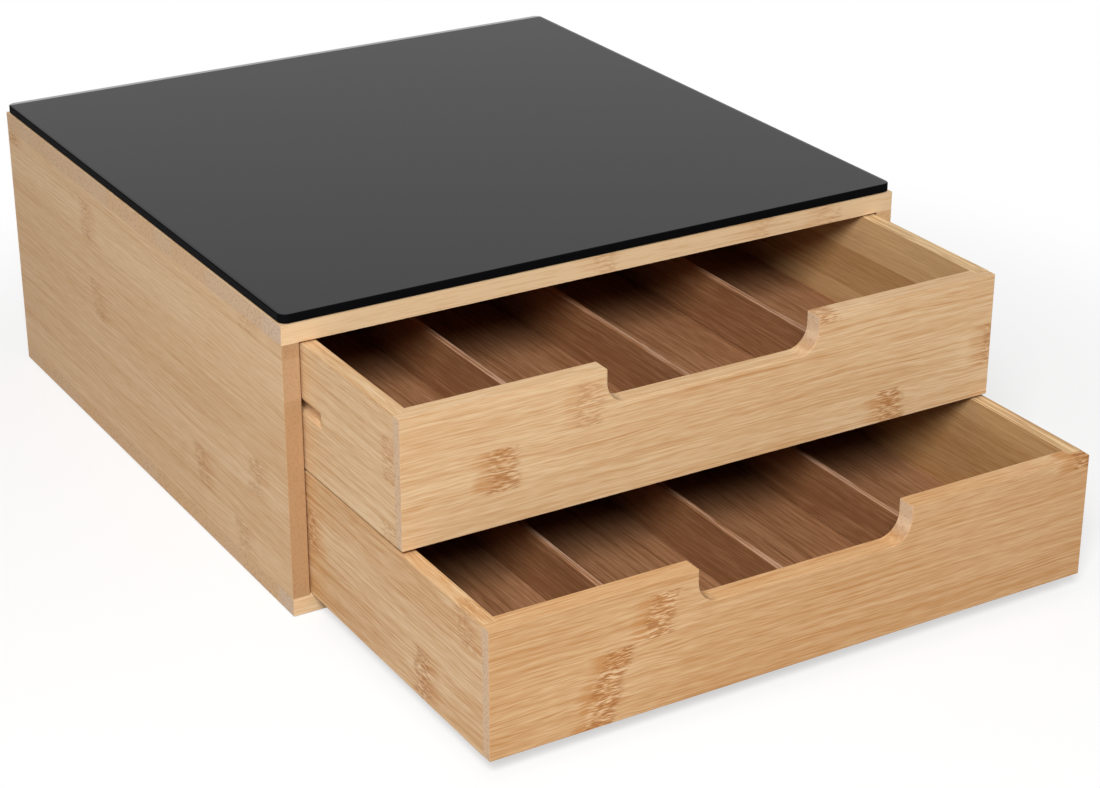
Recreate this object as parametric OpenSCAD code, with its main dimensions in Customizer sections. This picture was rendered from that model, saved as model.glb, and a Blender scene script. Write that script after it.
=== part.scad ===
// Two-drawer capsule box: a bamboo case with a black glass top and two divided drawers.
// X runs to the right, Y to the back, Z up. The origin is the middle of the case's underside.
// The drawers are drawn pulled out, as far as upper_open and lower_open say.

/* [Case] */
// Width of the case, outside
case_w = 310; // [250:1:420]
// Depth of the case, front to back
case_d = 320; // [240:1:420]
// Thickness of the top and bottom boards
board_t = 8.5; // [7:0.5:16]
// Thickness of the side boards
side_t = 8; // [7.5:0.5:16]
// Thickness of the back board
back_t = 6; // [6:0.5:14]

/* [Glass top] */
// Thickness of the glass plate
glass_t = 4; // [3:0.5:8]
// How far the glass stays inside the case's outline
glass_inset = 0.5; // [0:0.1:6]
// Radius of the plate's corners
glass_corner_r = 4; // [1.5:0.5:20]
// Width of the ground arris round the plate
glass_arris = 0.6; // [0.2:0.1:1.2]
// Thickness of the adhesive tape under the glass
tape_t = 0.4; // [0.2:0.1:1]
// Width of each strip of tape
tape_w = 20; // [8:1:40]
// Distance from the glass's edge to the tape
tape_margin = 15; // [2:1:40]

/* [Drawers] */
// Height of a drawer's walls
drawer_h = 57; // [53:1:90]
// Thickness of a drawer's front
front_t = 9; // [7:0.5:16]
// Thickness of a drawer's sides
wall_t = 7; // [6:0.5:12]
// Thickness of a drawer's back
rear_t = 7; // [6:0.5:12]
// Depth of the rebate in the front that takes the end of each side
rebate_d = 4; // [2:0.5:6]
// How far the upper drawer is pulled out
upper_open = 85; // [0:1:165]
// How far the lower drawer is pulled out
lower_open = 153; // [0:1:203]

/* [Finger notch] */
// Width of the notch in a drawer's front
notch_w = 104; // [60:1:160]
// Depth of the notch below the drawer's rim
notch_d = 16; // [12:1:20]
// Radius of the notch's lower corners
notch_r = 10; // [4:1:11]

/* [Base and dividers] */
// Thickness of a drawer's base
base_t = 4; // [3:0.5:7]
// Height of the base's underside above the drawer's lower edge
base_rise = 5; // [3:0.5:7]
// How far the base's edge goes into the walls
base_in = 3; // [1.5:0.5:4]
// Thickness of a divider
divider_t = 3.2; // [2.4:0.2:8]
// Height of a divider above the base
divider_h = 26; // [15:1:30]
// How far a divider's ends go into the front and back
housing_d = 2; // [1:0.5:4]

/* [Runners] */
// Height of a runner
runner_h = 6.4; // [5.6:0.2:10]
// Depth of the groove in the upper drawer's sides
groove_d = 4; // [3:0.25:4.5]
// Height of the groove's floor above the drawer's lower edge
groove_rise = 25; // [12:1:30]
// Distance from the drawer's front face to where the groove is at full depth
groove_start = 86; // [40:1:120]
// Radius of the disc cutter that leaves the groove's ramped end
cutter_r = 38; // [20:1:60]

/* [Clearances] */
// Gap beside a drawer, each side
side_gap = 1; // [0.5:0.1:3]
// Gap between the lower drawer and the bottom board it slides on
slide_gap = 0.3; // [0.2:0.1:1]
// Gap between the two drawers
drawer_gap = 1.7; // [0.8:0.1:4]
// Gap between the upper drawer and the top board
head_gap = 1; // [0.5:0.1:4]
// Gap between a closed drawer and the back board
rear_gap = 3; // [1:0.5:10]
// Gap above and below a runner in its groove
runner_play = 0.3; // [0.2:0.1:0.8]
// Gap between a runner's edge and the bottom of its groove
runner_tip_gap = 0.5; // [0.3:0.1:1]
// Gap between a runner's ends and what they stop short of
runner_end_gap = 1; // [0.5:0.5:5]
// Glue gap round a dowel, a screw, a divider's end or the base's edge
glue_gap = 0.1; // [0.05:0.05:0.2]

/* [Dowels and screws] */
// Diameter of a dowel
dowel_d = 4; // [3:0.5:5]
// Length of a dowel
dowel_l = 16; // [10:1:24]
// Wood left between a dowel's end and the outer face of a top or bottom board
dowel_skin = 3; // [1:0.5:4]
// Distance from a board's end to its first dowel
dowel_margin = 30; // [15:1:60]
// Diameter of a runner screw's shank
screw_d = 2.4; // [1.6:0.2:3]
// Diameter of a runner screw's head
screw_head_d = 4.8; // [3.6:0.2:5.4]
// Wood left between a screw's tip and the outer face of a side board
screw_skin = 2.5; // [1:0.5:5]
// Distance from a runner's end to its first screw
screw_margin = 20; // [10:1:40]

/* [Hidden] */
$fn = 64;
eps = 0.01;
cells = 4;
dowels_per_side = 3;
dowels_per_back = 2;
screws_per_runner = 3;
tape_strips = 3;

// The case, from the bottom up
inner_h = slide_gap + drawer_h + drawer_gap + drawer_h + head_gap;
inner_w = case_w - 2 * side_t;
case_h = inner_h + 2 * board_t;
case_front = -case_d / 2;
back_front = case_d / 2 - back_t;
joint_low = board_t;
joint_high = case_h - board_t;
glass_w = case_w - 2 * glass_inset;
glass_d = case_d - 2 * glass_inset;
glass_z = case_h + tape_t;

// A drawer in its own frame: front face at y = 0, lower edge at z = 0, middle at x = 0
drawer_w = inner_w - 2 * side_gap;
drawer_d = case_d - back_t - rear_gap;
hold_w = drawer_w - 2 * wall_t;
hold_end = drawer_d - rear_t;
hold_d = hold_end - front_t;
side_front = front_t - rebate_d;
floor_z = base_rise + base_t;
cell_w = (hold_w - (cells - 1) * divider_t) / cells;
lower_z = joint_low + slide_gap;
upper_z = lower_z + drawer_h + drawer_gap;

// The runners, their grooves and their screws
groove_h = runner_h + 2 * runner_play;
runner_w = side_gap + groove_d - runner_tip_gap;
runner_z = upper_z + groove_rise + runner_play;
runner_front = case_front + groove_start + runner_end_gap;
runner_back = back_front - runner_end_gap;
screw_head_h = (screw_head_d - screw_d) / 2;
screw_l = runner_w + side_t - screw_skin;
dowel_in = board_t - dowel_skin;

bamboo = [0.85, 0.69, 0.48];
dark_bamboo = [0.47, 0.31, 0.21];
birch = [0.86, 0.76, 0.60];

// Place number i of n, evenly spaced between two ends
function spaced(from, to, i, n) = from + (to - from) * i / (n - 1);

// Low x of divider number i, counted from 0 at the left
function divider_x(i) = -hold_w / 2 + cell_w + i * (cell_w + divider_t);

// Every dowel's place in plan: along both side boards, then along the back board
function dowel_places() = concat(
    [
        for (s = [-1, 1])
            for (i = [0 : dowels_per_side - 1])
                [
                    s * (case_w - side_t) / 2,
                    spaced(case_front + dowel_margin, back_front - dowel_margin, i, dowels_per_side)
                ]
    ],
    [
        for (i = [0 : dowels_per_back - 1])
            [
                spaced(dowel_margin - inner_w / 2, inner_w / 2 - dowel_margin, i, dowels_per_back),
                back_front + back_t / 2
            ]
    ]
);

// A right-hand piece and its mirror image on the left
module both_sides() {
    children();
    mirror([1, 0, 0])
        children();
}

// Where each drawer stands in the case
module in_upper() {
    translate([0, case_front - upper_open, upper_z])
        children();
}

module in_lower() {
    translate([0, case_front - lower_open, lower_z])
        children();
}

// All dowels of the case, or with a gap the holes that take them
module dowels(gap) {
    for (place = dowel_places())
        for (low = [joint_low - dowel_in, joint_high + dowel_in - dowel_l])
            translate([place[0], place[1], low - gap])
                cylinder(d = dowel_d + 2 * gap, h = dowel_l + 2 * gap);
}

// A board of the case, given by its low corner and its size, with the dowel holes that meet it
module doweled_board(corner, size) {
    difference() {
        translate(corner)
            cube(size);
        dowels(glue_gap);
    }
}

// One screw along X, its head flush at x = 0 and its point at x = screw_l, or with a gap its hole
module runner_screw(gap) {
    r = screw_d / 2 + gap;
    head_r = screw_head_d / 2 + gap;
    tip = screw_l + gap;
    rotate([0, 90, 0])
        rotate_extrude()
            polygon([[0, -gap], [head_r, -gap], [r, screw_head_h], [r, tip - screw_d], [0, tip]]);
}

// The screws of the right-hand runner, or with a gap their holes
module right_screws(gap) {
    for (i = [0 : screws_per_runner - 1])
        translate([
            inner_w / 2 - runner_w,
            spaced(runner_front + screw_margin, runner_back - screw_margin, i, screws_per_runner),
            runner_z + runner_h / 2
        ])
            runner_screw(gap);
}

// The right-hand side board of the case
module side_board() {
    difference() {
        doweled_board([inner_w / 2, case_front, joint_low], [side_t, case_d, inner_h]);
        right_screws(glue_gap);
    }
}

// The right-hand runner, drilled and countersunk
module runner() {
    difference() {
        translate([inner_w / 2 - runner_w, runner_front, runner_z])
            cube([runner_w, runner_back - runner_front, runner_h]);
        right_screws(glue_gap);
    }
}

// Section through the glass: a bar of the given width with its four edges bevelled
module arris_profile(w) {
    h = w / 2;
    a = glass_arris;
    polygon([
        [a - h, 0], [h - a, 0], [h, a], [h, glass_t - a],
        [h - a, glass_t], [a - h, glass_t], [-h, glass_t - a], [-h, a]
    ]);
}

// The base, or with a gap the groove that takes its edges
module base_panel(gap) {
    reach = base_in + gap;
    translate([-hold_w / 2 - reach, front_t - reach, base_rise - gap])
        cube([hold_w + 2 * reach, hold_d + 2 * reach, base_t + gap]);
}

// Divider number i, or with a gap the housing that takes its ends
module divider(i, gap) {
    reach = housing_d + gap;
    translate([divider_x(i) - gap, front_t - reach, floor_z])
        cube([divider_t + 2 * gap, hold_d + 2 * reach, divider_h + gap]);
}

// What the base and the dividers need cut out of a drawer's walls
module base_and_divider_cuts() {
    base_panel(glue_gap);
    for (i = [0 : cells - 2])
        divider(i, glue_gap);
}

// The finger notch, as a cutter right through the front
module notch_cutter() {
    low = drawer_h - notch_d;
    translate([0, front_t + eps, 0])
        rotate([90, 0, 0])
            linear_extrude(front_t + 2 * eps) {
                translate([-notch_w / 2, low + notch_r])
                    square([notch_w, notch_d]);
                translate([notch_r - notch_w / 2, low])
                    square([notch_w - 2 * notch_r, notch_d]);
                for (s = [-1, 1])
                    translate([s * (notch_w / 2 - notch_r), low + notch_r])
                        circle(notch_r);
            }
}

// The groove in a right-hand drawer side: open at the back, run out by the cutter at the front
module runner_groove() {
    bottom_x = drawer_w / 2 - groove_d;
    translate([bottom_x, groove_start, groove_rise])
        cube([groove_d + eps, drawer_d - groove_start + eps, groove_h]);
    translate([bottom_x + cutter_r, groove_start, groove_rise])
        cylinder(r = cutter_r, h = groove_h);
}

module drawer_front() {
    difference() {
        translate([-drawer_w / 2, 0, 0])
            cube([drawer_w, front_t, drawer_h]);
        both_sides()
            translate([hold_w / 2, side_front, -eps])
                cube([wall_t + eps, rebate_d + eps, drawer_h + 2 * eps]);
        notch_cutter();
        base_and_divider_cuts();
    }
}

module drawer_back() {
    difference() {
        translate([-hold_w / 2, hold_end, 0])
            cube([hold_w, rear_t, drawer_h]);
        base_and_divider_cuts();
    }
}

// The right-hand side of a drawer, plain or with the runner's groove
module drawer_side(grooved) {
    difference() {
        translate([hold_w / 2, side_front, 0])
            cube([wall_t, drawer_d - side_front, drawer_h]);
        base_panel(glue_gap);
        if (grooved)
            runner_groove();
    }
}

module top_board() color(bamboo)
    doweled_board([-case_w / 2, case_front, joint_high], [case_w, case_d, board_t]);

module bottom_board() color(bamboo)
    doweled_board([-case_w / 2, case_front, 0], [case_w, case_d, board_t]);

module left_side_board() color(bamboo)
    mirror([1, 0, 0])
        side_board();

module right_side_board() color(bamboo)
    side_board();

module back_board() color(bamboo)
    doweled_board([-inner_w / 2, back_front, joint_low], [inner_w, back_t, inner_h]);

// The plate is two crossed bars with a disc in each corner, all with the same bevelled edge
module glass_top() color([0.08, 0.08, 0.09])
    translate([0, 0, glass_z]) {
        r = glass_corner_r;
        rotate([90, 0, 90])
            linear_extrude(glass_w - 2 * r, center = true)
                arris_profile(glass_d);
        rotate([90, 0, 0])
            linear_extrude(glass_d - 2 * r, center = true)
                arris_profile(glass_w);
        for (sx = [-1, 1])
            for (sy = [-1, 1])
                translate([sx * (glass_w / 2 - r), sy * (glass_d / 2 - r), 0])
                    rotate_extrude()
                        intersection() {
                            arris_profile(2 * r);
                            square([r, glass_t]);
                        }
    }

module glass_tape() color([0.9, 0.9, 0.88])
    for (i = [0 : tape_strips - 1])
        translate([
            tape_margin - glass_w / 2,
            spaced(tape_margin - glass_d / 2, glass_d / 2 - tape_margin - tape_w, i, tape_strips),
            case_h
        ])
            cube([glass_w - 2 * tape_margin, tape_w, tape_t]);

module left_runner() color(bamboo)
    mirror([1, 0, 0])
        runner();

module right_runner() color(bamboo)
    runner();

module runner_screws() color("silver")
    both_sides()
        right_screws(0);

module case_dowels() color(birch)
    dowels(0);

module upper_front() color(bamboo)
    in_upper()
        drawer_front();

module upper_back() color(bamboo)
    in_upper()
        drawer_back();

module upper_left_side() color(bamboo)
    in_upper()
        mirror([1, 0, 0])
            drawer_side(grooved = true);

module upper_right_side() color(bamboo)
    in_upper()
        drawer_side(grooved = true);

module upper_base() color(dark_bamboo)
    in_upper()
        base_panel(0);

module upper_divider(i) color(dark_bamboo)
    in_upper()
        divider(i, 0);

module lower_front() color(bamboo)
    in_lower()
        drawer_front();

module lower_back() color(bamboo)
    in_lower()
        drawer_back();

module lower_left_side() color(bamboo)
    in_lower()
        mirror([1, 0, 0])
            drawer_side(grooved = false);

module lower_right_side() color(bamboo)
    in_lower()
        drawer_side(grooved = false);

module lower_base() color(dark_bamboo)
    in_lower()
        base_panel(0);

module lower_divider(i) color(dark_bamboo)
    in_lower()
        divider(i, 0);

top_board();
bottom_board();
left_side_board();
right_side_board();
back_board();
glass_top();
glass_tape();
left_runner();
right_runner();
runner_screws();
case_dowels();
upper_front();
upper_back();
upper_left_side();
upper_right_side();
upper_base();
upper_divider(0);  // upper_divider_left
upper_divider(1);  // upper_divider_middle
upper_divider(2);  // upper_divider_right
lower_front();
lower_back();
lower_left_side();
lower_right_side();
lower_base();
lower_divider(0);  // lower_divider_left
lower_divider(1);  // lower_divider_middle
lower_divider(2);  // lower_divider_right
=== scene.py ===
# %% [markdown]
# # A bamboo box with two drawers and a black glass top
#
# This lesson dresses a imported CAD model. The solids already give every board
# its place and size. Here each board gets eased edges and a bamboo finish, the
# glass gets its polish, and the studio gets its light. All sizes are metres in
# the CAD model's own frame: X to the right, Y to the back, Z up, and the origin
# in the middle of the case's underside.

# %% Load the solids
import math

import bmesh
import bpy
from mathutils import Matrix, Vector


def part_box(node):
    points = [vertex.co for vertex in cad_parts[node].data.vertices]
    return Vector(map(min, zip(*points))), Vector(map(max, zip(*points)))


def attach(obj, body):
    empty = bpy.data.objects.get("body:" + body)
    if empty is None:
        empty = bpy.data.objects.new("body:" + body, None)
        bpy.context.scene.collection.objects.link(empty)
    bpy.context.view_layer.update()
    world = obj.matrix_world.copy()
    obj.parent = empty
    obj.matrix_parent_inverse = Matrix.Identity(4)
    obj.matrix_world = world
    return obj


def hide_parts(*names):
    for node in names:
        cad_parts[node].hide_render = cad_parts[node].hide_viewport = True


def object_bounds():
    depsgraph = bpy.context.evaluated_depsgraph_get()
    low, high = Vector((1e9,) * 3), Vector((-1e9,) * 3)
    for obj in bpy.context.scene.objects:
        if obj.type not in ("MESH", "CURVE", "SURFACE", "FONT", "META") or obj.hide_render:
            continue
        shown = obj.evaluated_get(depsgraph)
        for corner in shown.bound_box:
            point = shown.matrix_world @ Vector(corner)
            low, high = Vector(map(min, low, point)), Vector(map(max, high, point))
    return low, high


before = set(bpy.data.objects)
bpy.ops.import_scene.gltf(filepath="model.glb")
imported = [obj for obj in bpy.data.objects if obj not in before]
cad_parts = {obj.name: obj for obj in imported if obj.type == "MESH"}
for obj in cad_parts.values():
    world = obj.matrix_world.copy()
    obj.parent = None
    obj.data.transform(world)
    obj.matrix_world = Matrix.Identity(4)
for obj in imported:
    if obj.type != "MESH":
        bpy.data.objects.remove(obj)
cad_box = [list(corner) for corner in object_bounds()]
scene = bpy.context.scene
MM = 0.001

# %% [markdown]
# ## The camera
#
# The box is seen from the front left and from above, through a long lens that
# keeps the perspective gentle. A rotation matrix would do, but a bearing and a
# downward tilt are easier to read and to change, so the viewing direction is
# worked out from those two angles.

# %% Place the camera
CAMERA_AT = Vector((-0.5472, -1.0313, 0.5384))
BEARING, TILT = math.radians(30.775), math.radians(24.576)
FOCAL_LENGTH, SENSOR_WIDTH = 83.67, 36.0

looking = Vector((
    math.sin(BEARING) * math.cos(TILT),
    math.cos(BEARING) * math.cos(TILT),
    -math.sin(TILT),
))
lens = bpy.data.cameras.new("long_lens")
lens.lens, lens.sensor_width = FOCAL_LENGTH, SENSOR_WIDTH
camera = bpy.data.objects.new("camera", lens)
camera.location = CAMERA_AT
camera.rotation_mode = "QUATERNION"
camera.rotation_quaternion = looking.to_track_quat("-Z", "Y")
scene.collection.objects.link(camera)
scene.camera = camera
scene.view_settings.view_transform = "Standard"
print("camera", round(CAMERA_AT.length, 3), "m from the origin")

# %% [markdown]
# ## Node trees as arithmetic
#
# Finishes and repeated parts are node trees. Wiring them socket by socket hides
# the idea behind them, so a small class wraps one output socket: adding or
# multiplying two of them adds the Math node. Every other kind of node comes
# from one method, which sets the node's own settings first and then its inputs.


# %% A socket that can be calculated with
class Value:
    """One output socket of a node. Arithmetic on it adds Math nodes to its graph."""

    def __init__(self, graph, node, socket):
        self.graph, self.node, self.socket = graph, node, socket

    def out(self, identifier):
        found = next(s for s in self.node.outputs if s.identifier == identifier)
        return Value(self.graph, self.node, found)

    def math(self, operation, other=0.0):
        return self.graph.math(operation, self, other)

    def __add__(self, other):
        return self.math("ADD", other)

    def __radd__(self, other):
        return self.graph.math("ADD", other, self)

    def __sub__(self, other):
        return self.math("SUBTRACT", other)

    def __rsub__(self, other):
        return self.graph.math("SUBTRACT", other, self)

    def __mul__(self, other):
        return self.math("MULTIPLY", other)

    def __rmul__(self, other):
        return self.graph.math("MULTIPLY", other, self)

    def __truediv__(self, other):
        return self.math("DIVIDE", other)

    def __pow__(self, other):
        return self.math("POWER", other)

    def __abs__(self):
        return self.math("ABSOLUTE")

    def floor(self):
        return self.math("FLOOR")

    def fract(self):
        return self.math("FRACT")

    def most(self, other):
        return self.math("MAXIMUM", other)

    def least(self, other):
        return self.math("MINIMUM", other)

    def between(self, low, high):
        """0 at low and 1 at high, eased at both ends. Low may be the larger number."""
        settings = {"interpolation_type": "SMOOTHSTEP"}
        inputs = {"Value": self, "From Min": low, "From Max": high}
        return self.graph.node("ShaderNodeMapRange", settings, inputs)


# %% A node tree to fill
class Graph:
    """A node tree, emptied, that hands out the outputs of its nodes as Values."""

    def __init__(self, tree):
        self.tree = tree
        tree.nodes.clear()

    def node(self, kind, settings=None, inputs=None):
        made = self.tree.nodes.new(kind)
        for key, value in (settings or {}).items():
            setattr(made, key, value)
        for key, value in (inputs or {}).items():
            socket = next(s for s in made.inputs if s.identifier == key)
            for one in value if isinstance(value, list) else [value]:
                if isinstance(one, Value):
                    self.tree.links.new(one.socket, socket)
                else:
                    socket.default_value = one
        shown = [s for s in made.outputs if s.enabled]
        return Value(self, made, shown[0] if shown else None)

    def math(self, operation, first, second):
        inputs = {"Value": first, "Value_001": second}
        return self.node("ShaderNodeMath", {"operation": operation}, inputs)

    def vector(self, x, y, z):
        return self.node("ShaderNodeCombineXYZ", {}, {"X": x, "Y": y, "Z": z})

    def split(self, vector):
        parts = self.node("ShaderNodeSeparateXYZ", {}, {"Vector": vector})
        return [parts.out(letter) for letter in "XYZ"]


# %% [markdown]
# ## The studio
#
# Small goods like this are photographed on white paper under one big softbox. It
# stands above the camera, nearly 40 degrees up, so the light reaches a little way
# into the drawers and leaves their depths dark, and the shadow on the paper falls
# behind the box. A weak white ceiling and white boards on the left and at the back
# right keep the other sides readable. The backdrop is white at floor level and
# falls to grey higher up. Only the mirror-like glass looks that high, which is why
# black glass on white paper photographs as dark grey.

# %% Ceiling, white boards and backdrop
CEILING_LIGHT = 0.42
BACK_FILL = 2.2
LEFT_FILL = 1.4
UPPER_BACKDROP = 0.49
# Where each of them starts and where it is full. A direction's rise is 1 straight up,
# and its reach is about 1 straight towards the board.
CEILING_RISE, BOARD_RISE, GREY_RISE = (0.55, 0.90), (0.35, 0.0), (0.05, 0.24)
BACK_TOWARDS, BACK_REACH = (0.75, 0.60), (0.2, 0.9)
LEFT_REACH = (0.3, 1.0)

world = bpy.data.worlds.new("studio")
world.use_nodes = True
scene.world = world
sky = Graph(world.node_tree)
x, y, rise = sky.split(sky.node("ShaderNodeTexCoord").out("Generated"))
backdrop = 1 - rise.between(*GREY_RISE) * (1 - UPPER_BACKDROP)
back = (x * BACK_TOWARDS[0] + y * BACK_TOWARDS[1]).between(*BACK_REACH) * BACK_FILL
left = (x * -1).between(*LEFT_REACH) * LEFT_FILL
lit = rise.between(*CEILING_RISE) * CEILING_LIGHT + (back + left) * rise.between(*BOARD_RISE)
path = sky.node("ShaderNodeLightPath")
mirrored = path.out("Is Glossy Ray").most(path.out("Is Transmission Ray"))
seen = path.out("Is Camera Ray").most(mirrored)
level = seen * backdrop + (1 - seen) * lit
light = sky.node("ShaderNodeBackground", {}, {"Color": (1, 1, 1, 1), "Strength": level})
sky.node("ShaderNodeOutputWorld", {}, {"Surface": light})
print("ceiling at", CEILING_LIGHT, "and backdrop down to", UPPER_BACKDROP)

# %% One softbox above the camera
SOFTBOX_AIM = Vector((0.0, -0.08, 0.06))
SOFTBOX_TOWARDS = Vector((-0.68, -1.0, 0.94)).normalized()
SOFTBOX_OFF, SOFTBOX_SIZE, SOFTBOX_WATTS = 2.2, 0.70, 57.0

softbox = bpy.data.lights.new("softbox", "AREA")
softbox.shape, softbox.size, softbox.energy = "SQUARE", SOFTBOX_SIZE, SOFTBOX_WATTS
lamp = bpy.data.objects.new("softbox", softbox)
lamp.location = SOFTBOX_AIM + SOFTBOX_TOWARDS * SOFTBOX_OFF
lamp.rotation_mode = "QUATERNION"
lamp.rotation_quaternion = (-SOFTBOX_TOWARDS).to_track_quat("-Z", "Y")
scene.collection.objects.link(lamp)
print("softbox", SOFTBOX_WATTS, "W from", SOFTBOX_OFF, "m")

# %% White paper under the box, burnt out to plain white further off
PAPER_HALF = 4.0
PAPER_DROP = 0.3 * MM
PAPER_WHITE = 0.88
PAPER_BOUNCE = 0.32
NEAR_GLOW = 0.6
PAPER_BURNS = (0.26, 0.48)

paper_mesh = bpy.data.meshes.new("paper")
corners = [(x * PAPER_HALF, y * PAPER_HALF, -PAPER_DROP)
           for x, y in ((-1, -1), (1, -1), (1, 1), (-1, 1))]
paper_mesh.from_pydata(corners, [], [(0, 1, 2, 3)])
paper = bpy.data.objects.new("paper", paper_mesh)
scene.collection.objects.link(paper)
paper_look = bpy.data.materials.new("white_paper")
paper_look.use_nodes = True
sheet = Graph(paper_look.node_tree)
x, y = sheet.split(sheet.node("ShaderNodeTexCoord").out("Object"))[:2]
y = y - (cad_box[0][1] + cad_box[1][1]) / 2
far = ((x * x + y * y) ** 0.5).between(*PAPER_BURNS)
path = sheet.node("ShaderNodeLightPath")
seen = path.out("Is Camera Ray").most(path.out("Is Glossy Ray"))
shade = PAPER_BOUNCE + seen * (PAPER_WHITE - PAPER_BOUNCE)
matt = sheet.node("ShaderNodeBsdfDiffuse", {}, {"Color": sheet.vector(shade, shade, shade)})
glow = sheet.node("ShaderNodeEmission", {}, {"Color": (1, 1, 1, 1), "Strength": 1.0})
burnt = (NEAR_GLOW + far * (1 - NEAR_GLOW)) * path.out("Is Camera Ray")
both = sheet.node("ShaderNodeMixShader", {}, {"Fac": burnt, "Shader": matt, "Shader_001": glow})
sheet.node("ShaderNodeOutputMaterial", {}, {"Surface": both})
paper_mesh.materials.append(paper_look)
print("paper", 2 * PAPER_HALF, "m wide")

# %% [markdown]
# ## Bamboo
#
# Bamboo board is glued up from strips about 19 mm wide. Each strip has its own
# shade and long, straight fibres, and here and there a knuckle, where the stem
# had a joint: a patch of short brown dashes across one strip. A picture of wood
# would tile and stretch, so the finish is a solid pattern in millimetres of the
# box itself. It runs through the board, so the lines turn over its edges, and
# the sawn ends show the fibres as dots.


# %% Colours as a paint chart gives them
def paint(red, green, blue):
    """A colour given as 0 to 255 on screen, as the linear values that shaders use."""
    def linear(c):
        c /= 255
        return c / 12.92 if c <= 0.04045 else ((c + 0.055) / 1.055) ** 2.4
    return (linear(red), linear(green), linear(blue), 1.0)


# %% A finish in millimetres of the box
class Finish(Graph):
    """A material on object coordinates that ends in one Principled shader."""

    def __init__(self, name):
        self.material = bpy.data.materials.new(name)
        self.material.use_nodes = True
        super().__init__(self.material.node_tree)
        place = self.node("ShaderNodeTexCoord")
        scaled = {"Vector": place.out("Object"), "Scale": 1 / MM}
        self.mm = self.split(self.node("ShaderNodeVectorMath", {"operation": "SCALE"}, scaled))
        self.normal = self.split(place.out("Normal"))

    def noise(self, x, y, z, detail=2.0):
        inputs = {"Vector": self.vector(x, y, z), "Scale": 1.0, "Detail": detail}
        return self.node("ShaderNodeTexNoise", {"noise_dimensions": "3D"}, inputs)

    def mix(self, share, first, second):
        inputs = {"Factor_Float": share, "A_Color": first, "B_Color": second}
        return self.node("ShaderNodeMix", {"data_type": "RGBA"}, inputs)

    def bump(self, height, strength, depth_mm):
        inputs = {"Height": height, "Strength": strength, "Distance": depth_mm * MM}
        return self.node("ShaderNodeBump", {}, inputs)

    def surface(self, **inputs):
        sockets = {key.replace("_", " "): value for key, value in inputs.items()}
        shader = self.node("ShaderNodeBsdfPrincipled", {}, sockets)
        self.node("ShaderNodeOutputMaterial", {}, {"Surface": shader})
        return self.material


# %% Colours of the bamboo
PALE_BAMBOO = {
    "pale": paint(219, 187, 147), "deep": paint(190, 140, 87),
    "line": paint(176, 122, 68), "cream": paint(230, 197, 156),
    "tint": paint(184, 126, 68), "dash": paint(156, 98, 46),
    "end": paint(206, 179, 152), "end_deep": paint(208, 166, 120), "pore": paint(150, 106, 70),
}
TAN_ENDS = {**PALE_BAMBOO, "end_deep": paint(172, 133, 94)}
AMBER = {**PALE_BAMBOO, "pale": paint(214, 177, 133), "deep": paint(183, 130, 76)}
# Deeper browns for the drawers' right walls: painted shade for the dim inside of the drawers, on top
# of the strips' own tones.
SHADE_DEEPENED = {**PALE_BAMBOO, "pale": paint(217, 181, 133), "deep": paint(147, 101, 53),
           "end": paint(224, 190, 143)}
print("bamboo in", len(PALE_BAMBOO), "colours")

# %% Layers of the grain and the marks in it
STRIP = 19.0
LOT_STEP = 7.31
# Cells to the mm along the fibres and across them, shift from strip to strip, detail
GRAIN = {
    "ragged": (0.10, 0.16, 20, 2.0),
    "sway": (0.014, 0.05, 10, 2.0),
    "drift": (0.0050, 0.11, 40, 2.0),
    "bands": (0.0060, 0.50, 90, 2.0),
    "fibres": (0.016, 1.25, 170, 1.0),
    "flecks": (0.09, 1.55, 230, 1.0),
    "specks": (0.26, 1.65, 60, 1.0),
}
# How far each layer takes the wood from its pale to its deep colour
TONE = {"strip": 0.32, "drift": 0.38, "bands": 0.40, "fibres": 1.15, "flecks": 1.05}
KNUCKLE_PALER, KNUCKLE_BUSIER, KNUCKLE_CALMER = 0.18, 0.5, 0.7
SWAY_MM, KNUCKLE_SWAY_MM = 5.0, 2.0
# The value of a layer at which a mark starts, the value at which it is full, and how much it covers
MARKS = {
    "line": (0.56, 0.70, 0.24), "stain": (0.32, 0.58, 0.80), "dash": (0.45, 0.60, 0.85),
    "cream": (0.45, 0.32, 0.65), "top_patches": (0.42, 0.58, 1.0), "pore": (0.48, 0.68, 0.38),
}
SEAM_AT, SEAM_COVER = (0.485, 0.497), 0.22
PORES_ACROSS, PORES_ALONG, PORES_SHIFT = 0.95, 0.2, 30
FIRST_STRIP, END_VARIES = (1.2, 0.8), 0.3
# How squarely a face looks along one axis, where it starts to count and where it counts in full
SAWN_FACE, UPPER_FACE, ROUNDED = (0.55, 0.85), (0.5, 0.9), (0.97, 0.80)
print(len(GRAIN), "layers of grain and", len(MARKS), "kinds of mark")


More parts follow.
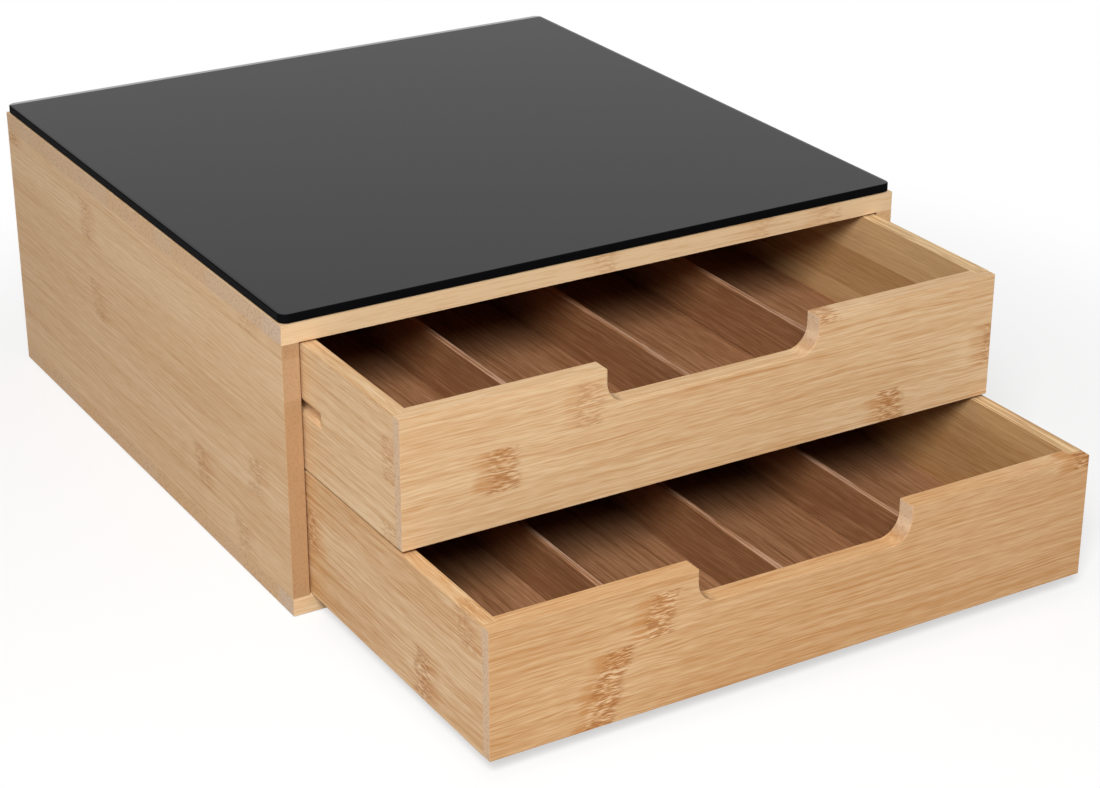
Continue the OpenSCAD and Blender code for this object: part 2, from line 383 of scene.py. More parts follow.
# %% The bamboo recipe
def bamboo(name, along, across, edge, seed, warmth=0.5, knuckles=None, colours=PALE_BAMBOO,
           strip_width=STRIP, contrast=1.0, ends=(0.3, 0.3), paler_top=0.0, painted_edge_shade=0.45):
    """Strips of bamboo along one axis, side by side across another from a glue line at edge.

    A knuckle is (place along the grain in mm, strip number, slant, strength). The sawn ends
    run from grey at 0 to tan at 1, given for the first strip and for the others. The last two
    shares make faces that look up paler, and rounded edges darker. The darker rounded edges
    are painted shade, which damps the highlight they catch. In the shader u runs along the
    grain, v across the strips and w through the board.
    the board."""
    finish = Finish(name)
    order = {"x": 0, "y": 1, "z": 2}
    u, v = finish.mm[order[along]], finish.mm[order[across]]
    w = finish.mm[3 - order[along] - order[across]]
    strip = (v - edge) / strip_width
    number = strip.floor()
    lot = {"W": number * LOT_STEP + seed}
    draw = finish.node("ShaderNodeTexWhiteNoise", {"noise_dimensions": "1D"}, lot)
    lots = finish.node("ShaderNodeSeparateColor", {}, {"Color": draw.out("Color")})
    shade, slip, phase = (lots.out(c) for c in ("Red", "Green", "Blue"))

    def layer(kind, sideways, chance=slip):
        length, fineness, shift, detail = GRAIN[kind]
        return finish.noise(u * length + chance * shift, sideways * fineness, w * fineness, detail)

    def mark(kind, value):
        begins, full, cover = MARKS[kind]
        return value.between(begins, full) * cover

    ragged = layer("ragged", v)
    stain, crinkle, near = knuckle_marks(u, strip, number, phase, ragged, knuckles)
    sway = layer("sway", v)
    v_bent = v + (sway - 0.5) * SWAY_MM + (ragged - 0.5) * near * KNUCKLE_SWAY_MM
    drift, bands = layer("drift", v), layer("bands", v_bent)
    fibres, flecks = layer("fibres", v_bent), layer("flecks", v_bent)
    warm = (warmth + (shade - 0.5) * TONE["strip"] + (drift - 0.5) * TONE["drift"]
            - near * KNUCKLE_PALER + (bands - 0.5) * TONE["bands"] * contrast
            + (fibres - 0.5) * TONE["fibres"] * contrast
            + (flecks - 0.5) * (TONE["flecks"] + near * KNUCKLE_BUSIER) * contrast)
    wood = finish.mix(warm, colours["pale"], colours["deep"])
    lines = mark("line", bands * 0.7 + fibres * 0.3) * (1 - near * KNUCKLE_CALMER)
    wood = finish.mix(lines * contrast, wood, colours["line"])
    seam = abs(strip.fract() - 0.5).between(*SEAM_AT)
    wood = finish.mix(seam * SEAM_COVER, wood, colours["line"])

    specks = layer("specks", v_bent, phase)
    wood = finish.mix(stain * mark("stain", fibres), wood, colours["tint"])
    wood = finish.mix(crinkle * mark("dash", specks), wood, colours["dash"])
    wood = finish.mix(crinkle * mark("cream", specks), wood, colours["cream"])

    # Faces that look up are paler, in patches that follow the fibres.
    if paler_top:
        top_patches = finish.normal[2].between(*UPPER_FACE) * mark("top_patches", fibres)
        wood = finish.mix(top_patches * paler_top, wood, colours["end"])
    sawn = abs(finish.normal[order[along]]).between(*SAWN_FACE)
    tan = ends[1] + strip.between(*FIRST_STRIP) * (ends[0] - ends[1]) + (shade - 0.5) * END_VARIES
    end = finish.mix(tan, colours["end"], colours["end_deep"])
    pores = finish.noise(v * PORES_ACROSS, w * PORES_ACROSS, u * PORES_ALONG + slip * PORES_SHIFT)
    end = finish.mix(mark("pore", pores), end, colours["pore"])
    # Rounded edges are darker in the pore colour: painted shade, which damps the highlight they
    # catch.
    facing = abs(finish.normal[0]).most(abs(finish.normal[1])).most(abs(finish.normal[2]))
    rounded = facing.between(*ROUNDED)
    height = bands * 0.5 + fibres * 0.5 - crinkle * specks * 0.3 - seam * 0.3
    return finish.surface(
        Base_Color=finish.mix(rounded * painted_edge_shade, finish.mix(sawn, wood, end), colours["pore"]),
        Roughness=0.47 + fibres * 0.12 + sawn * 0.16,
        Specular_IOR_Level=0.35,
        Normal=finish.bump(height, strength=0.16, depth_mm=0.35),
    )


# %% Knuckles, at given places or one to each length of a strip by chance
# In mm along the grain, apart from the turn and the crinkled fibres' share of the fraying
KNUCKLE_PITCH, KNUCKLE_TURN, KNUCKLE_SLANT = 215.0, 5.7, 14.0
STAIN_AT, STAIN_HALF, STAIN_SOFT = -3.0, 8.0, 4.0
CRINKLE_AT, CRINKLE_HALF, CRINKLE_SOFT = 1.0, 6.5, 2.5
KNUCKLE_PALE = 55.0
STAIN_FRAY, CRINKLE_FRAY = 9.0, 0.6


def knuckle_marks(u, strip, number, phase, ragged, knuckles):
    """How much a place belongs to a knuckle's brown stain, to the crinkled fibres beside it,
    and to the pale wood around both."""
    lean = strip.fract() - 0.5
    fray = (ragged - 0.5) * STAIN_FRAY
    if knuckles is None:
        turn = (u / KNUCKLE_PITCH + phase * KNUCKLE_TURN).fract() - 0.5
        off = turn * KNUCKLE_PITCH + lean * (phase - 0.5) * KNUCKLE_SLANT
        spots = [(off, 0.35 + phase * 0.5)]
    else:
        spots = [(u - place - lean * slant, (1 - abs(number - wanted).least(1.0)) * strength)
                 for place, wanted, slant, strength in knuckles]
    stain = crinkle = near = 0.0
    for off, share in spots:
        stained = (abs(off - STAIN_AT) + fray).between(
            STAIN_HALF + STAIN_SOFT, STAIN_HALF - STAIN_SOFT)
        crinkled = (abs(off - CRINKLE_AT) + fray * CRINKLE_FRAY).between(
            CRINKLE_HALF + CRINKLE_SOFT, CRINKLE_HALF - CRINKLE_SOFT)
        stain = stained * share + stain
        crinkle = crinkled * share + crinkle
        near = ((abs(off) + fray).between(KNUCKLE_PALE, STAIN_HALF) * share).most(near)
    return stain, crinkle, near


# %% [markdown]
# ## Boards with eased edges
#
# A maker takes the sharpness off every edge that a hand can reach and leaves the
# edges inside a joint crisp, so that the joint closes. The same rule is used
# here: each edge of a board's solid is felt along its length, and only where
# nothing else of the box touches it does it get a small rounded bevel. That
# keeps the solids' exact shape everywhere else.

# %% Turn a piece with modifiers into a plain mesh
SHARP_TURN = math.radians(40)


def plain(piece):
    """Puts what the modifiers make into the piece's own mesh, and removes them."""
    bpy.context.view_layer.update()
    made = piece.evaluated_get(bpy.context.evaluated_depsgraph_get())
    mesh = bpy.data.meshes.new_from_object(made)
    piece.modifiers.clear()
    piece.data = mesh
    mesh.name = piece.name
    return piece


def smooth(piece):
    """Smooth shading that keeps large faces flat, closed over small round edges."""
    bm = bmesh.new()
    bm.from_mesh(piece.data)
    for face in bm.faces:
        face.smooth = True
    for edge in bm.edges:
        edge.smooth = edge.calc_face_angle(0.0) < SHARP_TURN
    bm.to_mesh(piece.data)
    bm.free()
    piece.modifiers.new("flat_faces", "WEIGHTED_NORMAL").keep_sharp = True
    return plain(piece)


# %% Which edges a hand can reach
FEEL = 0.15 * MM
FEEL_POINTS = 12
FREE_SHARE = 0.75
TOUCH = FEEL / 10
CORNER_TURN = math.radians(25)
boxes = {name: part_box(name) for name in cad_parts}


def touched(point, own):
    """True if another solid's box holds the point."""
    return any(
        all(low[i] - TOUCH <= point[i] <= high[i] + TOUCH for i in range(3))
        for name, (low, high) in boxes.items() if name != own
    )


def reachable(edge, own):
    """True for an outer corner with open air beside most of its length."""
    if len(edge.link_faces) != 2 or edge.calc_face_angle_signed(0.0) < CORNER_TURN:
        return False
    start, end = (v.co for v in edge.verts)
    free = 0
    for i in range(FEEL_POINTS):
        at = start.lerp(end, (i + 0.5) / FEEL_POINTS)
        free += not any(touched(at + face.normal * FEEL, own) for face in edge.link_faces)
    return free >= FREE_SHARE * FEEL_POINTS


# %% Copy a board and ease its edges
NOTCH_EASE, EASE_STEPS = 0.55 * MM, 3
EDGE_SHARE = 0.64
WELD = MM / 1000
FLAT_TURN = math.radians(0.5)


def eased(node, body, finish, crisp=(), notch=None):
    """A copy of a board with its open edges rounded. Edges in the height ranges of crisp stay
    sharp. Those of the finger notch, given by its half width and its lowest height, are
    rounded the most."""
    bm = bmesh.new()
    bm.from_mesh(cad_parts[node].data)
    bmesh.ops.remove_doubles(bm, verts=bm.verts, dist=WELD)
    bmesh.ops.dissolve_limit(bm, angle_limit=FLAT_TURN, verts=bm.verts, edges=bm.edges)
    bm.normal_update()
    weight = bm.edges.layers.float.new("bevel_weight_edge")
    count = 0
    for edge in bm.edges:
        middle = (edge.verts[0].co + edge.verts[1].co) / 2
        if any(low < middle.z < high for low, high in crisp):
            continue
        if reachable(edge, node):
            in_notch = notch and abs(middle.x) < notch[0] and middle.z > notch[1]
            edge[weight] = 1.0 if in_notch else EDGE_SHARE
            count += 1
    mesh = bpy.data.meshes.new(node + "_eased")
    bm.to_mesh(mesh)
    bm.free()
    mesh.materials.append(finish)
    piece = bpy.data.objects.new(node + "_eased", mesh)
    scene.collection.objects.link(piece)
    bevel = piece.modifiers.new("ease", "BEVEL")
    bevel.width, bevel.segments, bevel.limit_method = NOTCH_EASE, EASE_STEPS, "WEIGHT"
    bevel.use_clamp_overlap = True
    smooth(plain(piece))
    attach(piece, body)
    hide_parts(node)
    print(piece.name, count, "edges eased,", len(piece.data.polygons), "faces")


# %% [markdown]
# ## The case
#
# The top and bottom boards run the full width and lie over the ends of the
# sides, so their sawn ends show on the left and right, and the sides' sawn ends
# show at the front. The grain runs across the box in the top, bottom and back,
# and front to back in the sides. The knuckles on the left side and on the top's
# front edge are where the photograph has them; the other boards have theirs by
# chance. The edges of the glue joints that show stay crisp.

# %% Case boards
JOINT_REACH = 0.2 * MM


def about(height):
    """The range of heights that counts as one joint line."""
    return (height - JOINT_REACH, height + JOINT_REACH)


eased("top_board", "case", crisp=[about(corner.z) for corner in boxes["top_board"]],
      finish=bamboo("bamboo_top", "x", "y", edge=-162, seed=11, warmth=0.06, ends=(0.0, 0.5),
                    knuckles=[(0, 0, 2, 0.32), (83, 0, 3, 0.25), (118, 0, 0, 0.4),
                              (-60, 1, 4, 0.8), (40, 3, 4, 0.8)]))
eased("bottom_board", "case", crisp=[about(boxes["bottom_board"][1].z)],
      finish=bamboo("bamboo_bottom", "x", "y", edge=-165, seed=23, warmth=0.35, ends=(0.1, 0.75)))
eased("left_side_board", "case",
      finish=bamboo("bamboo_left", "y", "z", edge=5, seed=31, warmth=0.42, contrast=0.75,
                    colours=TAN_ENDS, ends=(1.0, 1.0),
                    knuckles=[(57, 5, 3, 0.40), (48, 3, 5, 0.35), (-70, 1, 4, 0.40),
                              (-128, 2, -4, 0.45), (-112, 0, 4, 0.40), (-125, 6, 0, 0.3),
                              (153, 6, 0, 0.6)]))
eased("right_side_board", "case",
      finish=bamboo("bamboo_right", "y", "z", edge=11, seed=47, warmth=0.45, contrast=0.85,
                    ends=(1.0, 1.0)))
eased("back_board", "case",
      finish=bamboo("bamboo_rear", "x", "z", edge=2, seed=59, warmth=0.4))

# %% [markdown]
# ## The runners
#
# Two thin strips inside the case carry the upper drawer, each in a groove of the
# drawer's side. They are bamboo too, screwed to the case's sides.

# %% Runners
for side, seed in (("left", 61), ("right", 67)):
    eased(f"{side}_runner", "case",
          finish=bamboo(f"bamboo_{side}_runner", "y", "z", edge=90, seed=seed))

# %% [markdown]
# ## The drawers
#
# Each drawer is a front with a finger notch, two sides let into rebates of the
# front, and a back between the sides. Fronts and backs have their grain from
# side to side, and sides from front to back. The fronts are what the eye goes to
# first, so their strips and knuckles follow the photograph.

# %% How the strips and knuckles lie in each wall
FRONTS = {
    "upper": {"edge": 63.5, "seed": 168, "warmth": 0.36, "colours": PALE_BAMBOO, "knuckles": [
        (-61, 2, 2, 0.42), (-101, 1, 0, 0.75), (91, 0, -3, 0.8), (55, 3, 0, 0.7), (147, 1, 0, 0.7)]},
    "lower": {"edge": 3.3, "seed": 226, "warmth": 0.52, "colours": AMBER, "knuckles": [
        (-70, 2, 3, 0.9), (-92, 1, 8, 1.0), (-97, 0, 4, 1.0), (143, 3, 0, 1.0)]},
}
LEFT_SIDES = {
    "upper": {"edge": 56.0, "seed": 117, "warmth": 0.32, "knuckles": [
        (-235, 0, 0, 0.5), (-237, 2, 0, 0.4), (-20, 1, 3, 0.8)]},
    "lower": {"edge": 12.2, "seed": 217, "warmth": 0.52, "knuckles": [
        (-261, 0, 2, 0.8), (-261, -1, 2, 0.7), (-295, 2, 5, 0.45), (-162, 1, 3, 0.7),
        (-60, 1, 4, 0.8)]},
}
# The right walls' glue lines and seeds set their darkest strips lowest, and their warmth is deep:
# painted shade, darker towards the drawer floor.
RIGHT_SIDES = {
    "upper": {"edge": 68.0, "seed": 156, "warmth": 0.62},
    "lower": {"edge": 18.0, "seed": 274, "warmth": 0.68},
}
RIGHT_KNUCKLES = [(-18, 1, 3, 0.8), (-74, 2, -2, 0.6), (-52, 0, 3, 0.8)]
BACKS = {"upper": {"edge": 71.5, "seed": 141}, "lower": {"edge": 11.3, "seed": 241}}
print("knuckles in the fronts:", {drawer: len(wall["knuckles"]) for drawer, wall in FRONTS.items()})

# %% Drawer walls
NOTCH_HALF, NOTCH_BELOW = 53 * MM, 17 * MM
GROOVE_BELOW = (33 * MM, 24 * MM)

for drawer in ("upper", "lower"):
    body = f"{drawer}_drawer"
    rim = boxes[f"{drawer}_front"][1].z
    groove = [tuple(rim - below for below in GROOVE_BELOW)] if drawer == "upper" else []
    eased(f"{drawer}_front", body, notch=(NOTCH_HALF, rim - NOTCH_BELOW),
          finish=bamboo(f"bamboo_{drawer}_front", "x", "z", **FRONTS[drawer]))
    eased(f"{drawer}_left_side", body, crisp=groove,
          finish=bamboo(f"bamboo_{drawer}_left", "y", "z", contrast=1.2, **LEFT_SIDES[drawer]))
    # The right walls' deeper browns are painted shade.
    eased(f"{drawer}_right_side", body, crisp=groove,
          finish=bamboo(f"bamboo_{drawer}_right", "y", "z", knuckles=RIGHT_KNUCKLES,
                        colours=SHADE_DEEPENED, contrast=0.35, paler_top=1.0, **RIGHT_SIDES[drawer]))
    eased(f"{drawer}_back", body,
          finish=bamboo(f"bamboo_{drawer}_back", "x", "z", warmth=0.45, **BACKS[drawer]))

# %% [markdown]
# ## Dark bases
#
# The drawers' bases and dividers are heat-darkened bamboo, chocolate brown with
# reddish strips. The base's solid already has the right shape, since its edges
# are all in grooves, so it only gets its finish.

# %% Bases
DARK_BAMBOO = {
    "pale": paint(170, 126, 91), "deep": paint(126, 83, 51),
    "line": paint(84, 50, 29), "cream": paint(188, 146, 110),
    "tint": paint(112, 72, 46), "dash": paint(78, 46, 28),
    "end": paint(196, 160, 134), "end_deep": paint(150, 108, 78), "pore": paint(96, 62, 42),
}
DARK_STRIP = 16.0

for number, drawer in enumerate(("upper", "lower")):
    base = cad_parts[f"{drawer}_base"]
    base.data.materials.clear()
    base.data.materials.append(bamboo(
        f"dark_{drawer}_base", "y", "x", edge=4 + 7 * number, seed=300 + 50 * number, warmth=0.60,
        knuckles=[], colours=DARK_BAMBOO, strip_width=DARK_STRIP, contrast=1.1))
    print(base.name, "finished")


# %% [markdown]
# ## Parts that repeat
#
# Dividers, screws and dowels each come several times over, so they are made by
# Geometry Nodes: one tree describes the part and where its copies go, and its
# named inputs set the sizes. The copies are made real and given their finish at
# the end of the tree, and the result becomes a plain mesh.

# %% A geometry tree with named inputs
class Recipe(Graph):
    """A geometry node tree. Its inputs are named after the part's own sizes."""

    KINDS = {int: "NodeSocketInt", float: "NodeSocketFloat", Vector: "NodeSocketVector"}

    def __init__(self, name, **sizes):
        super().__init__(bpy.data.node_groups.new(name, "GeometryNodeTree"))
        face = self.tree.interface
        face.new_socket("Geometry", in_out="OUTPUT", socket_type="NodeSocketGeometry")
        self.names = {"Points": face.new_socket(
            "Points", in_out="INPUT", socket_type="NodeSocketGeometry").identifier}
        for key, value in {**sizes, "Finish": None}.items():
            kind = self.KINDS.get(type(value), "NodeSocketMaterial")
            socket = face.new_socket(key, in_out="INPUT", socket_type=kind)
            if value is not None:
                socket.default_value = value
            self.names[key] = socket.identifier
        self.inputs = self.node("NodeGroupInput")

    def given(self, key):
        return self.inputs.out(self.names[key])

    def end(self, geometry):
        """Makes the copies real, coats them and closes the tree."""
        real = self.node("GeometryNodeRealizeInstances", {}, {"Geometry": geometry})
        self.close(self.coat(real, self.given("Finish")))

    def coat(self, geometry, finish, where=True):
        inputs = {"Geometry": geometry, "Selection": where, "Material": finish}
        return self.node("GeometryNodeSetMaterial", {}, inputs)

    def close(self, geometry):
        last = self.tree.nodes.new("NodeGroupOutput")
        self.tree.links.new(geometry.socket, last.inputs[0])

    def piece(self, name, points=(), **values):
        """A plain mesh made by the tree, with these sizes, on these points."""
        mesh = bpy.data.meshes.new(name)
        mesh.from_pydata([tuple(p) for p in points], [], [])
        made = bpy.data.objects.new(name, mesh)
        scene.collection.objects.link(made)
        modifier = made.modifiers.new("recipe", "NODES")
        modifier.node_group = self.tree
        for key, value in values.items():
            modifier[self.names[key]] = value
        plain(made)
        bm = bmesh.new()
        bm.from_mesh(made.data)
        bmesh.ops.remove_doubles(bm, verts=bm.verts, dist=WELD)
        bmesh.ops.recalc_face_normals(bm, faces=bm.faces)
        bm.to_mesh(made.data)
        bm.free()
        print(name, len(made.data.polygons), "faces")
        return smooth(made)


# %% [markdown]
# ## Dividers
#
# Three low slats split each drawer into four rows. A slat is a rectangle with
# rounded corners, pushed out along the drawer's depth and set on a line of
# points, one pitch apart.

# %% A row of slats
EASE_POINTS = 4

slats = Recipe("divider_row", Count=3, Pitch=70 * MM, Thickness=4 * MM, Length=300 * MM,
               Height=26 * MM, Ease=0.6 * MM, Corner=Vector((0, 0, 0)))
outline = slats.node("GeometryNodeCurvePrimitiveQuadrilateral", {"mode": "RECTANGLE"},
                     {"Width": slats.given("Thickness"), "Height": slats.given("Height")})
outline = slats.node("GeometryNodeFilletCurve", {"mode": "POLY"},
                     {"Curve": outline, "Count": EASE_POINTS, "Radius": slats.given("Ease")})
end_face = slats.node("GeometryNodeFillCurve", {"mode": "NGONS"}, {"Curve": outline})
pushed = slats.node("GeometryNodeExtrudeMesh", {"mode": "FACES"},
                    {"Mesh": end_face, "Offset Scale": slats.given("Length"), "Individual": False})
slat = slats.node("GeometryNodeJoinGeometry", {}, {"Geometry": [pushed, end_face]})
stand = slats.vector(slats.given("Thickness") / 2, slats.given("Length"), slats.given("Height") / 2)
slat = slats.node("GeometryNodeTransform", {}, {
    "Geometry": slat, "Translation": stand, "Rotation": (math.pi / 2, 0, 0)})
row = slats.node("GeometryNodeMeshLine", {"mode": "OFFSET"}, {
    "Count": slats.given("Count"), "Start Location": slats.given("Corner"),
    "Offset": slats.vector(slats.given("Pitch"), 0.0, 0.0)})
slats.end(slats.node("GeometryNodeInstanceOnPoints", {}, {"Points": row, "Instance": slat}))

# %% Dividers in both drawers
WHOLE_SLAT = 40.0

for number, drawer in enumerate(("upper", "lower")):
    names = [f"{drawer}_divider_{which}" for which in ("left", "middle", "right")]
    low, high = boxes[names[0]]
    finish = bamboo(f"dark_{drawer}_dividers", "y", "z", edge=low.z / MM - 2, seed=420 + 30 * number,
                    warmth=0.80, knuckles=[], colours=DARK_BAMBOO, strip_width=WHOLE_SLAT,
                    contrast=1.2, paler_top=0.62, painted_edge_shade=0.0)
    row = slats.piece(f"{drawer}_dividers", Corner=list(low), Pitch=boxes[names[1]][0].x - low.x,
                      Thickness=high.x - low.x, Length=high.y - low.y, Height=high.z - low.z,
                      Finish=finish)
    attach(row, f"{drawer}_drawer")
    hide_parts(*names)

# %% [markdown]
# ## The glass top
#
# The top is a plate of black glass with rounded corners. Its faces are polished
# and its edge is ground dull, with a fine rounding along both rims. The edge
# follows a path, so Geometry Nodes sweep its section round a rounded rectangle
# and close it with two flat faces. Black glass has almost no colour of its own:
# what shows is the studio mirrored in it, more of it the flatter the view. Light
# that gets in through the ground edge makes the far rim of such a plate glow as a
# fine light line. A slight roll-off of the polish along the rear rim, and less of
# it along the sides, gives the same line by mirroring the white behind the box.

# %% Polished glass and its ground edge
# Each roll-off's width and fall in mm, and cells of haze and grit to the mm
REAR_WIDTH, REAR_FALL = 3.2, 0.70
SIDE_WIDTH, SIDE_FALL = 1.6, 0.17
HAZE_CELLS, GRIT_CELLS = 0.012, 3.0

polish = Finish("black_glass_face")
x, y, z = polish.mm
haze = polish.noise(x * HAZE_CELLS, y * HAZE_CELLS, z * HAZE_CELLS, detail=3.0)
glass_high = boxes["glass_top"][1] / MM
rear = ((glass_high.y - y) / REAR_WIDTH).least(1.0) * REAR_FALL
sides = ((glass_high.x - abs(x)) / SIDE_WIDTH).least(1.0) * SIDE_FALL
glass_face = polish.surface(
    Base_Color=polish.mix(haze, paint(9, 9, 10), paint(12, 12, 14)),
    Roughness=0.035 + haze * 0.03, IOR=1.5,
    Normal=polish.bump(rear + sides, strength=1.0, depth_mm=1.0))
ground = Finish("black_glass_edge")
x, y, z = ground.mm
grit = ground.noise(x * GRIT_CELLS, y * GRIT_CELLS, z * GRIT_CELLS)
glass_edge = ground.surface(
    Base_Color=ground.mix(grit, paint(9, 9, 10), paint(14, 14, 16)),
    Roughness=0.30 + grit * 0.2, Specular_IOR_Level=0.008,
    Normal=ground.bump(grit, strength=0.1, depth_mm=0.05))
print("glass rolls off over", REAR_WIDTH, "mm at the rear and", SIDE_WIDTH, "mm at the sides")

# %% A plate swept round its edge
CORNER_POINTS, SECTION_POINTS = 12, 27
UPRIGHT = 0.9

plate = Recipe("glass_plate", Width=309 * MM, Depth=319 * MM, Thickness=4 * MM, Corner=4 * MM,
               Arris=0.6 * MM, Underside=134.4 * MM, Edge=None)
arris, half = plate.given("Arris"), plate.given("Thickness") / 2
rim = plate.node("GeometryNodeCurvePrimitiveQuadrilateral", {"mode": "RECTANGLE"}, {
    "Width": plate.given("Width") - arris * 2, "Height": plate.given("Depth") - arris * 2})
rim = plate.node("GeometryNodeFilletCurve", {"mode": "POLY"}, {
    "Curve": rim, "Count": CORNER_POINTS, "Radius": plate.given("Corner") - arris})
section = plate.node("GeometryNodeCurvePrimitiveLine", {"mode": "POINTS"},
                     {"Start": (0, -1, 0), "End": (0, 1, 0)})
section = plate.node("GeometryNodeResampleCurve", {"mode": "COUNT"},
                     {"Curve": section, "Count": SECTION_POINTS})
through = plate.split(plate.node("GeometryNodeInputPosition"))[1]
drop = half * (through * (math.pi / 2)).math("SINE")
into = (abs(drop) - (half - arris)).most(0.0)
bulge = (arris * arris - into * into).most(0.0) ** 0.5
section = plate.node("GeometryNodeSetPosition", {}, {
    "Geometry": section, "Position": plate.vector(bulge, drop, 0.0)})
edge = plate.node("GeometryNodeCurveToMesh", {}, {"Curve": rim, "Profile Curve": section})
face = plate.node("GeometryNodeFillCurve", {"mode": "NGONS"}, {"Curve": rim})
upper = plate.node("GeometryNodeTransform", {}, {
    "Geometry": face, "Translation": plate.vector(0.0, 0.0, half)})
lower = plate.node("GeometryNodeTransform", {}, {
    "Geometry": face, "Translation": plate.vector(0.0, 0.0, half * -1)})
whole = plate.node("GeometryNodeJoinGeometry", {}, {"Geometry": [edge, upper, lower]})
whole = plate.node("GeometryNodeTransform", {}, {
    "Geometry": whole, "Translation": plate.vector(0.0, 0.0, plate.given("Underside") + half)})
whole = plate.node("GeometryNodeRealizeInstances", {}, {"Geometry": whole})
whole = plate.coat(whole, plate.given("Finish"))
upright = abs(plate.split(plate.node("GeometryNodeInputNormal"))[2])
flank = upright.math("LESS_THAN", UPRIGHT)
plate.close(plate.coat(whole, plate.given("Edge"), flank))

# %% The glass plate
low, high = boxes["glass_top"]
glass = plate.piece("glass_plate", Width=high.x - low.x, Depth=high.y - low.y,
                    Thickness=high.z - low.z, Underside=low.z,
                    Finish=glass_face, Edge=glass_edge)
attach(glass, "case")
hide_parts("glass_top")

# %% [markdown]
# ## Fixings
#
# Small countersunk screws hold the runners, fluted dowels hold the case's
# joints, and strips of clear tape hold the glass. A screw is one tall cylinder
# whose radius is a formula: a cone for the head, a wave that climbs round the
# shank for the thread, and a point. A cross is then cut into its head.

# %% Steel, birch and tape
steel = Finish("screw_steel")
x, y, z = steel.mm
scratch = steel.noise(x * 0.8, y * 6.0, z * 6.0)
steel_look = steel.surface(
    Base_Color=steel.mix(scratch, paint(190, 190, 194), paint(214, 214, 218)),
    Metallic=1.0, Roughness=0.26 + scratch * 0.2)
birch = Finish("birch_dowel")
x, y, z = birch.mm
fleck = birch.noise(x * 1.6, y * 1.6, z * 0.06, detail=3.0)
birch_look = birch.surface(
    Base_Color=birch.mix(fleck.between(0.3, 0.7), paint(226, 204, 168), paint(204, 174, 130)),
    Roughness=0.6 + fleck * 0.1, Normal=birch.bump(fleck, strength=0.2, depth_mm=0.1))
tape = Finish("clear_tape")
x, y, z = tape.mm
milky = tape.noise(x * 0.15, y * 0.5, z, detail=3.0)
tape_look = tape.surface(
    Base_Color=tape.mix(milky, paint(214, 214, 208), paint(236, 236, 231)),
    Roughness=0.4 + milky * 0.2)
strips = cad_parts["glass_tape"]
strips.data.materials.clear()
strips.data.materials.append(tape_look)
print(strips.name, "finished")

# %% Runner screws
SCREW_HEAD = 2.4 * MM
# The thread's root and the point's length in shank radii, the slot's length in head radii
# and the slot's cutter in slot widths
THREAD_ROOT, POINT_SHANKS = 0.78, 2
SLOT_HEADS, SLOT_DEEP = 1.15, 2.2

screw = Recipe("runner_screw", Head=SCREW_HEAD, Shank=1.2 * MM, Length=10 * MM, Pitch=0.9 * MM,
               Slot=0.7 * MM)
blank = screw.node("GeometryNodeMeshCylinder", {"fill_type": "NGON"}, {
    "Vertices": 20, "Side Segments": 90, "Radius": 1.0, "Depth": screw.given("Length")})
x, y, z = screw.split(screw.node("GeometryNodeInputPosition"))
reach = z + screw.given("Length") / 2
climb = reach / screw.given("Pitch") - y.math("ARCTAN2", x) / (2 * math.pi)
crest = abs(climb.fract() - 0.5) * 2
point = ((screw.given("Length") - reach) / (screw.given("Shank") * POINT_SHANKS)).least(1.0)
thread = screw.given("Shank") * (THREAD_ROOT + crest * (1 - THREAD_ROOT))
radius = (thread * point).most(screw.given("Head") - reach)
blank = screw.node("GeometryNodeSetPosition", {}, {
    "Geometry": blank, "Position": screw.vector(reach, x * radius, y * radius)})
slot_length, slot_depth = screw.given("Head") * SLOT_HEADS, screw.given("Slot") * SLOT_DEEP
bars = [screw.node("GeometryNodeMeshCube", {}, {"Size": screw.vector(slot_depth, a, b)})
        for a, b in ((slot_length, screw.given("Slot")), (screw.given("Slot"), slot_length))]
cut = screw.node("GeometryNodeMeshBoolean", {"operation": "DIFFERENCE", "solver": "EXACT"},
                 {"Mesh 1": blank, "Mesh 2": bars})
side = screw.split(screw.node("GeometryNodeInputPosition"))[0]
turn = screw.vector(0.0, 0.0, side.math("LESS_THAN", 0.0) * math.pi)
screw.end(screw.node("GeometryNodeInstanceOnPoints", {}, {
    "Points": screw.given("Points"), "Instance": cut, "Rotation": turn}))

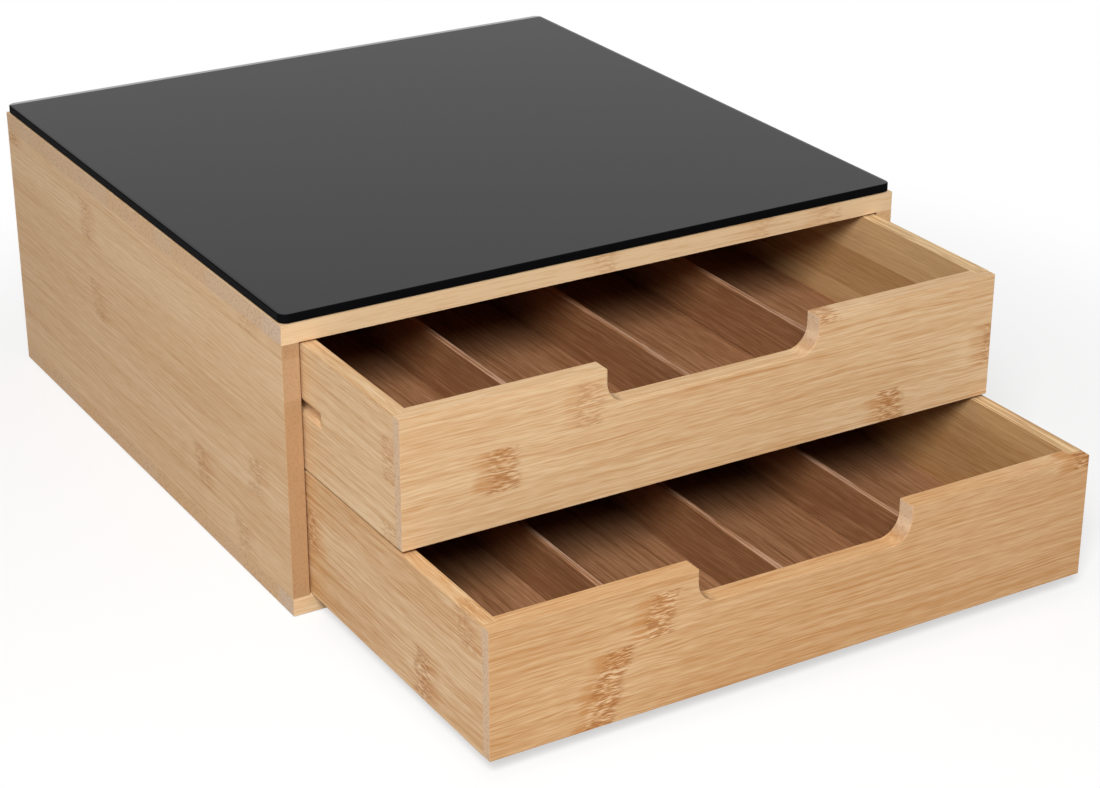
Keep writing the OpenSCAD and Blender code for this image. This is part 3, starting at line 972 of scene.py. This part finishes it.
# %% Six screws, three to a runner
low, high = boxes["runner_screws"]
head_x = boxes["right_runner"][0].x
first, last = low.y + SCREW_HEAD, high.y - SCREW_HEAD
heads = [(side * head_x, y, (low.z + high.z) / 2)
         for side in (-1, 1) for y in (first, (first + last) / 2, last)]
screws = screw.piece("runner_screw_set", heads, Finish=steel_look)
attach(screws, "case")
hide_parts("runner_screws")

# %% Fluted dowels
DOWEL_RADIUS, DOWEL_LENGTH = 2 * MM, 16 * MM
# What a flute and the chamfer take away, as shares of the radius
FLUTE_DEEP, CHAMFER_IN = 0.07, 0.2

dowel = Recipe("fluted_dowel", Radius=DOWEL_RADIUS, Length=DOWEL_LENGTH, Flutes=10,
               Chamfer=0.8 * MM)
peg = dowel.node("GeometryNodeMeshCylinder", {"fill_type": "NGON"}, {
    "Vertices": 40, "Side Segments": 20,
    "Radius": dowel.given("Radius"), "Depth": dowel.given("Length")})
x, y, z = dowel.split(dowel.node("GeometryNodeInputPosition"))
wave = (y.math("ARCTAN2", x) * dowel.given("Flutes")).math("COSINE")
tip = abs(z) - (dowel.given("Length") / 2 - dowel.given("Chamfer"))
tapered = 1 - (tip / dowel.given("Chamfer")).most(0.0) * CHAMFER_IN
slim = (1 - wave.between(0.2, 1.0) * FLUTE_DEEP) * tapered
peg = dowel.node("GeometryNodeSetPosition", {}, {
    "Geometry": peg, "Position": dowel.vector(x * slim, y * slim, z)})
dowel.end(dowel.node("GeometryNodeInstanceOnPoints", {}, {
    "Points": dowel.given("Points"), "Instance": peg}))

# %% Dowels in the sides and the back, above and below
SIDE_DOWELS = (-130 * MM, -3 * MM, 124 * MM)
REAR_DOWELS = 117 * MM

low, high = boxes["case_dowels"]
side_x, rear_y = high.x - DOWEL_RADIUS, high.y - DOWEL_RADIUS
levels = (low.z + DOWEL_LENGTH / 2, high.z - DOWEL_LENGTH / 2)
places = [(side * side_x, y) for side in (-1, 1) for y in SIDE_DOWELS]
places += [(side * REAR_DOWELS, rear_y) for side in (-1, 1)]
middles = [(x, y, z) for x, y in places for z in levels]
dowels = dowel.piece("fluted_dowel_set", middles, Finish=birch_look)
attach(dowels, "case")
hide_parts("case_dowels")
